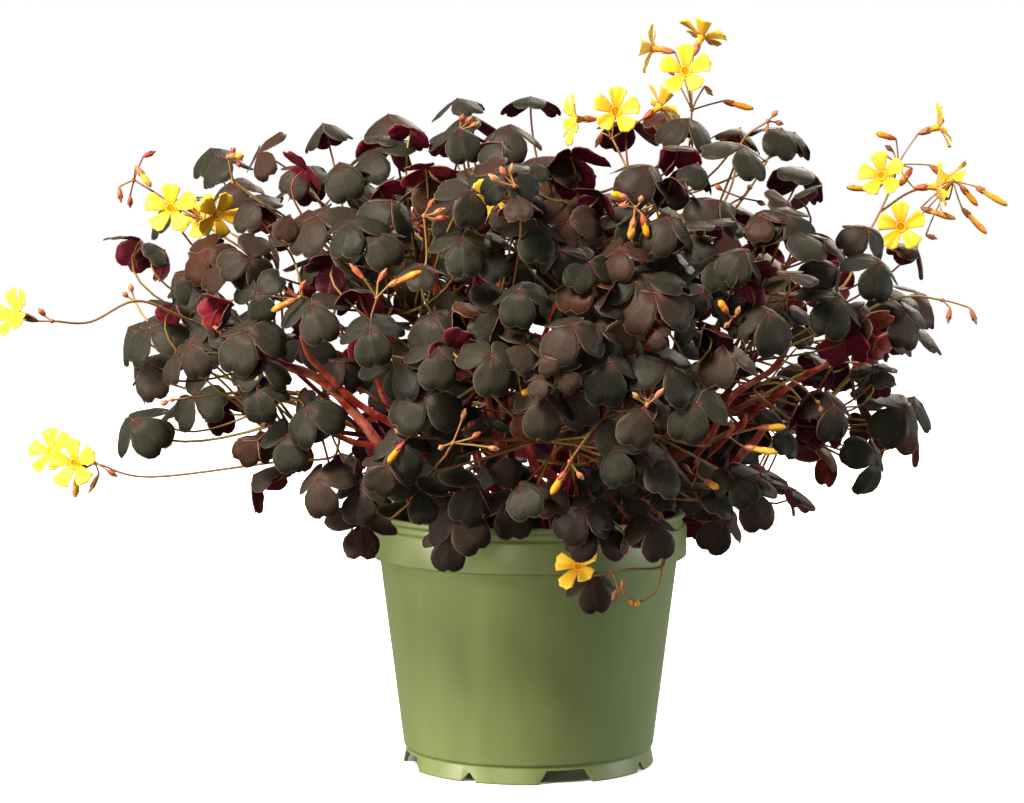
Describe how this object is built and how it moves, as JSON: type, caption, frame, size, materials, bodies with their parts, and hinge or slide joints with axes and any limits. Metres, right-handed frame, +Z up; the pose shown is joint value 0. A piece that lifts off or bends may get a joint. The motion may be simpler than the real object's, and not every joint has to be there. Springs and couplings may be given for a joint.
{
  "type": "potted oxalis",
  "caption": "Dark-leaved shamrock plant with a wide mound of three-part leaves on arching stems and yellow flowers above it, in a tapered green nursery pot.",
  "frame": {"origin": "on the pot's axis, on the surface the pot stands on", "axes": "+Z up, +X to the right of a viewer who faces the front, -Y towards that viewer"},
  "size_m": [0.4639, 0.3492, 0.3562],
  "materials": {
    "pot": "green, slightly glossy",
    "soil": "dark damp peat",
    "foliage": "dull charcoal above, burgundy below",
    "spray": "dull olive to orange red",
    "petals": "soft yellow"
  },
  "bodies": {
    "root": {"pot": "pot", "soil": "soil", "leafy_stem_01": "foliage", "leafy_stem_02": "foliage", "leafy_stem_03": "foliage", "leafy_stem_04": "foliage", "leafy_stem_05": "foliage", "leafy_stem_06": "foliage", "leafy_stem_07": "foliage", "leafy_stem_08": "foliage", "leafy_stem_09": "foliage", "leafy_stem_10": "foliage", "leafy_stem_11": "foliage", "leafy_stem_12": "foliage", "leafy_stem_13": "foliage", "leafy_stem_14": "foliage", "leafy_stem_15": "foliage", "leafy_stem_16": "foliage", "leafy_stem_17": "foliage", "spray_01": "spray", "spray_02": "spray", "spray_03": "spray", "spray_04": "spray", "spray_05": "spray", "spray_06": "spray", "spray_07": "spray", "spray_08": "spray", "spray_09": "spray", "spray_10": "spray", "spray_11": "spray", "spray_12": "spray", "spray_13": "spray", "spray_14": "spray", "spray_15": "spray", "spray_16": "spray", "flower_01": "petals", "flower_02": "petals", "flower_03": "petals", "flower_04": "petals", "flower_05": "petals", "flower_06": "petals", "flower_07": "petals", "flower_08": "petals", "flower_09": "petals", "flower_10": "petals", "flower_11": "petals", "flower_12": "petals", "flower_13": "petals", "flower_14": "petals", "flower_15": "petals", "flower_16": "petals", "flower_17": "petals", "flower_18": "petals", "flower_19": "petals", "flower_20": "petals", "flower_21": "petals", "flower_22": "petals"}
  },
  "joints": []
}
